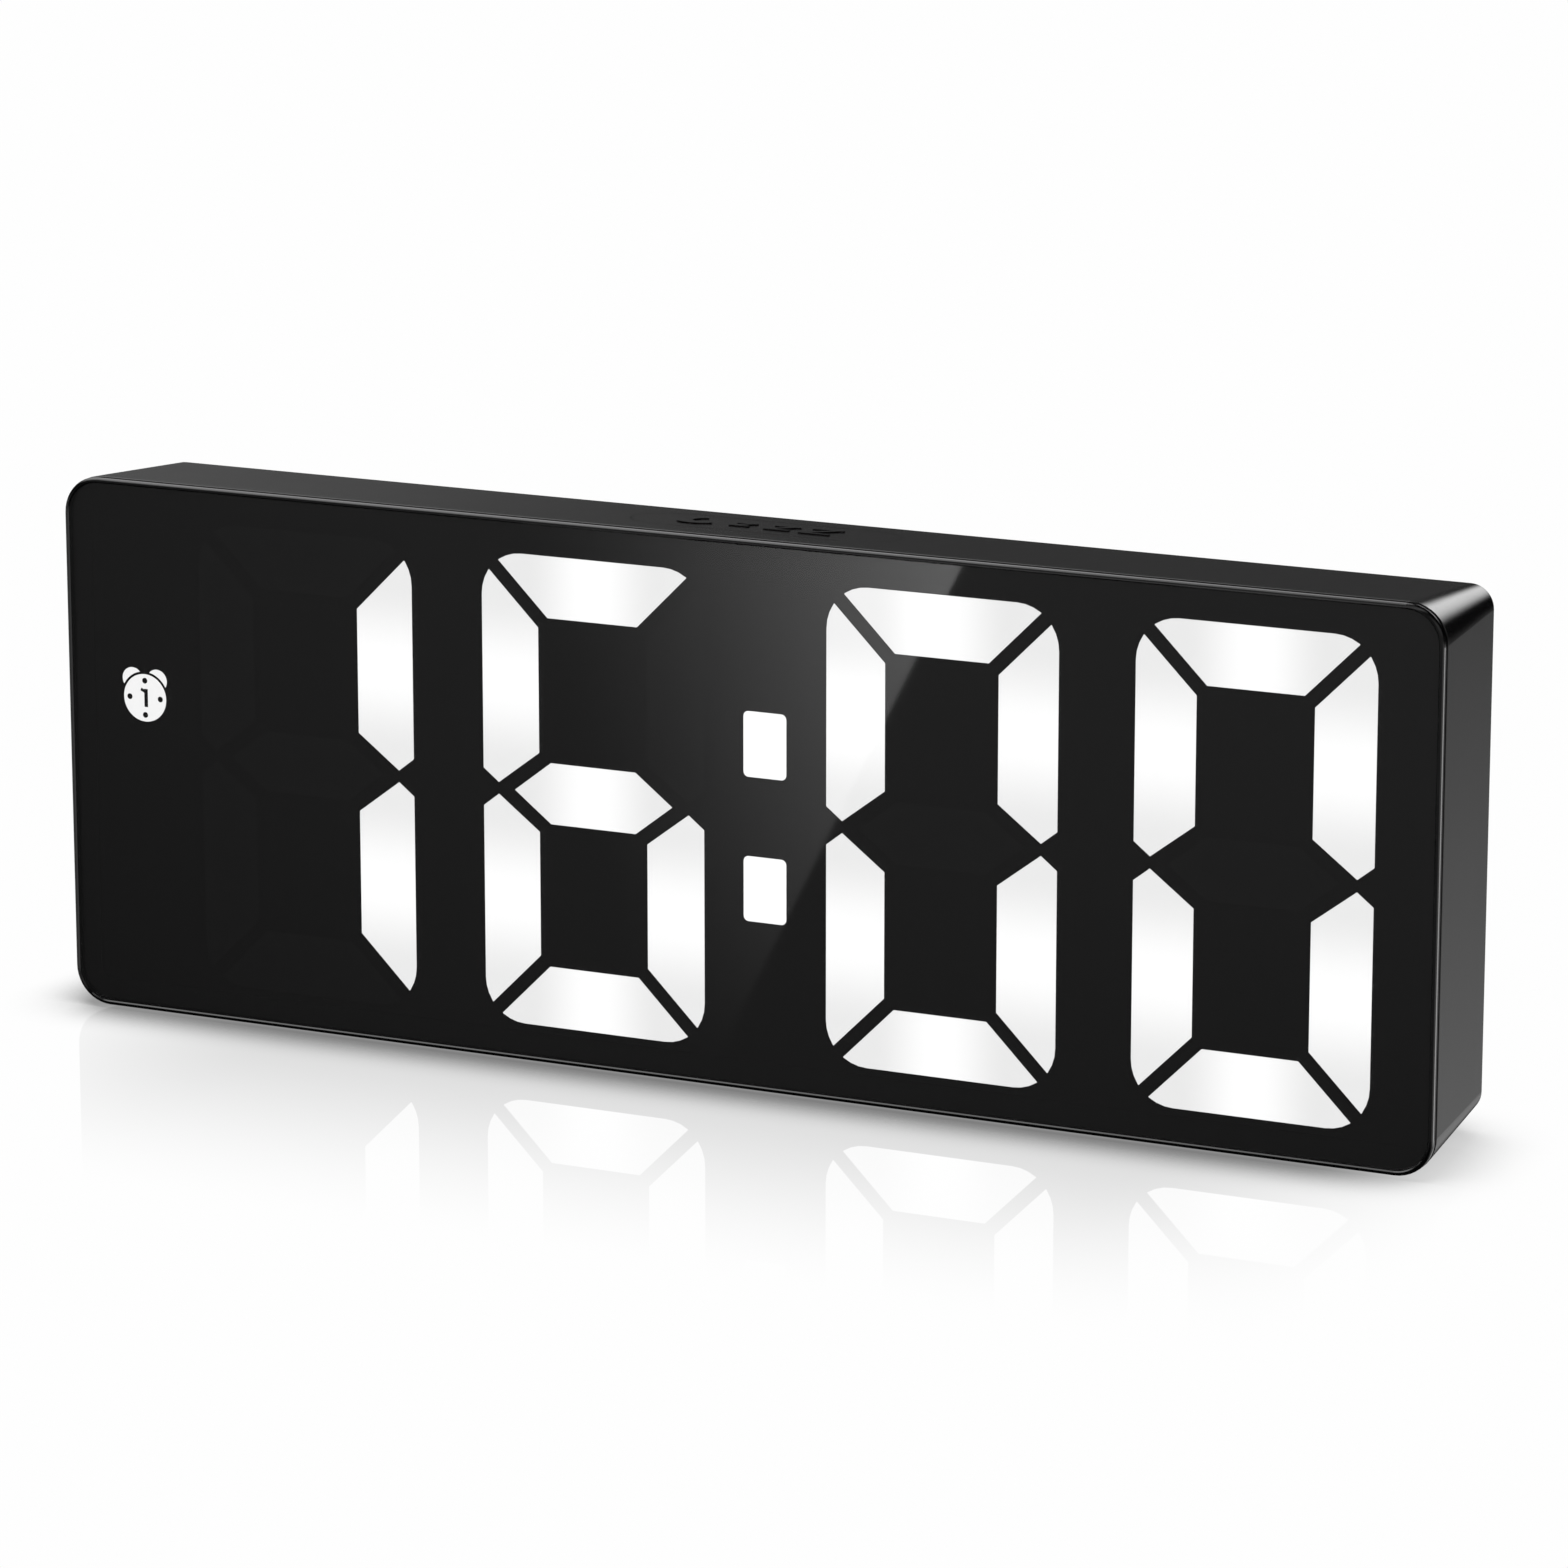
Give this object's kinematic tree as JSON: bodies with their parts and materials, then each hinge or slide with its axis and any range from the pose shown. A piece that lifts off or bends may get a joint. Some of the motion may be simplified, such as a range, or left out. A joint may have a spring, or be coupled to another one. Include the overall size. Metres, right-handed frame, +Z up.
{
  "type": "digital alarm clock",
  "caption": "Slim desk alarm clock with a smoked front panel, seven-segment display, top snooze button, rear keys and battery bay.",
  "frame": {"origin": "on the desk, under the middle of the clock's bounding box", "axes": "+X to the right as seen from the front, +Y to the back, +Z up; the display faces -Y"},
  "size_m": [0.162, 0.02, 0.0608],
  "materials": {
    "bezel_black": "satin gloss black moulded ABS, rounded edge",
    "smoked_panel": "polished smoked acrylic",
    "mask_black": "black printed film",
    "reflector_white": "white moulded reflector",
    "lit_white": "translucent white diffuser, lit from behind",
    "unlit_dark": "diffuser with its emitters off behind the smoke",
    "circuit_board": "green solder mask over glass-epoxy",
    "led_phosphor": "small white light emitters",
    "chip_black": "black moulded electronic body",
    "tinned_steel": "tinned steel",
    "housing_black": "fine satin-grain black ABS",
    "cover_black": "fine matte-grain black ABS",
    "cell_wrap": "shrink sleeve with a plain band, steel ends",
    "contact_plate": "plated spring brass",
    "lead_sleeve": "soft vinyl sleeve",
    "button_black": "satin black moulded button",
    "screw_steel": "blackened zinc-plated steel",
    "foot_rubber": "soft black rubber"
  },
  "bodies": {
    "case": {"front_bezel": "bezel_black", "front_lens": "smoked_panel", "panel_tape": "mask_black", "mask_film": "mask_black", "light_box": "reflector_white", "hours_tens_lit": "lit_white", "hours_units_lit": "lit_white", "minutes_tens_lit": "lit_white", "minutes_units_lit": "lit_white", "unlit_segments": "unlit_dark", "colon_dots": "lit_white", "alarm_icon": "lit_white", "display_board": "circuit_board", "segment_leds": "led_phosphor", "microcontroller": "chip_black", "crystal_can": "tinned_steel", "buzzer": "chip_black", "snooze_switch": "chip_black", "key_board": "circuit_board", "key_switches": "tinned_steel", "board_header": "chip_black", "power_socket": "tinned_steel", "housing": "housing_black", "rear_cover": "cover_black", "battery_tray": "cover_black", "battery_cells": "cell_wrap", "battery_springs": "tinned_steel", "battery_contacts": "contact_plate", "battery_leads": "lead_sleeve", "rear_screws": "screw_steel", "board_screws": "screw_steel", "rubber_feet": "foot_rubber"},
    "battery_door": {"battery_door": "cover_black"},
    "snooze_button": {"snooze_button": "housing_black"},
    "set_button": {"set_button": "button_black"},
    "alarm_button": {"alarm_button": "button_black"},
    "up_button": {"up_button": "button_black"},
    "down_button": {"down_button": "button_black"}
  },
  "joints": [
    {"name": "snooze_press", "type": "slide", "parent": "case", "child": "snooze_button", "axis": [0, 0, -1], "range_m": [0, 0.0005], "stiffness_N_per_m": 1500},
    {"name": "set_press", "type": "slide", "parent": "case", "child": "set_button", "axis": [0, -1, 0], "range_m": [0, 0.0005], "stiffness_N_per_m": 1500},
    {"name": "alarm_press", "type": "slide", "parent": "case", "child": "alarm_button", "axis": [0, -1, 0], "range_m": [0, 0.0005], "stiffness_N_per_m": 1500},
    {"name": "up_press", "type": "slide", "parent": "case", "child": "up_button", "axis": [0, -1, 0], "range_m": [0, 0.0005], "stiffness_N_per_m": 1500},
    {"name": "down_press", "type": "slide", "parent": "case", "child": "down_button", "axis": [0, -1, 0], "range_m": [0, 0.0005], "stiffness_N_per_m": 1500},
    {"name": "battery_door_hinge", "type": "hinge", "parent": "case", "child": "battery_door", "pos_m": [-0.032, 0.00865, 0.0123], "axis": [-1, 0, 0], "range_deg": [0, 85]}
  ]
}
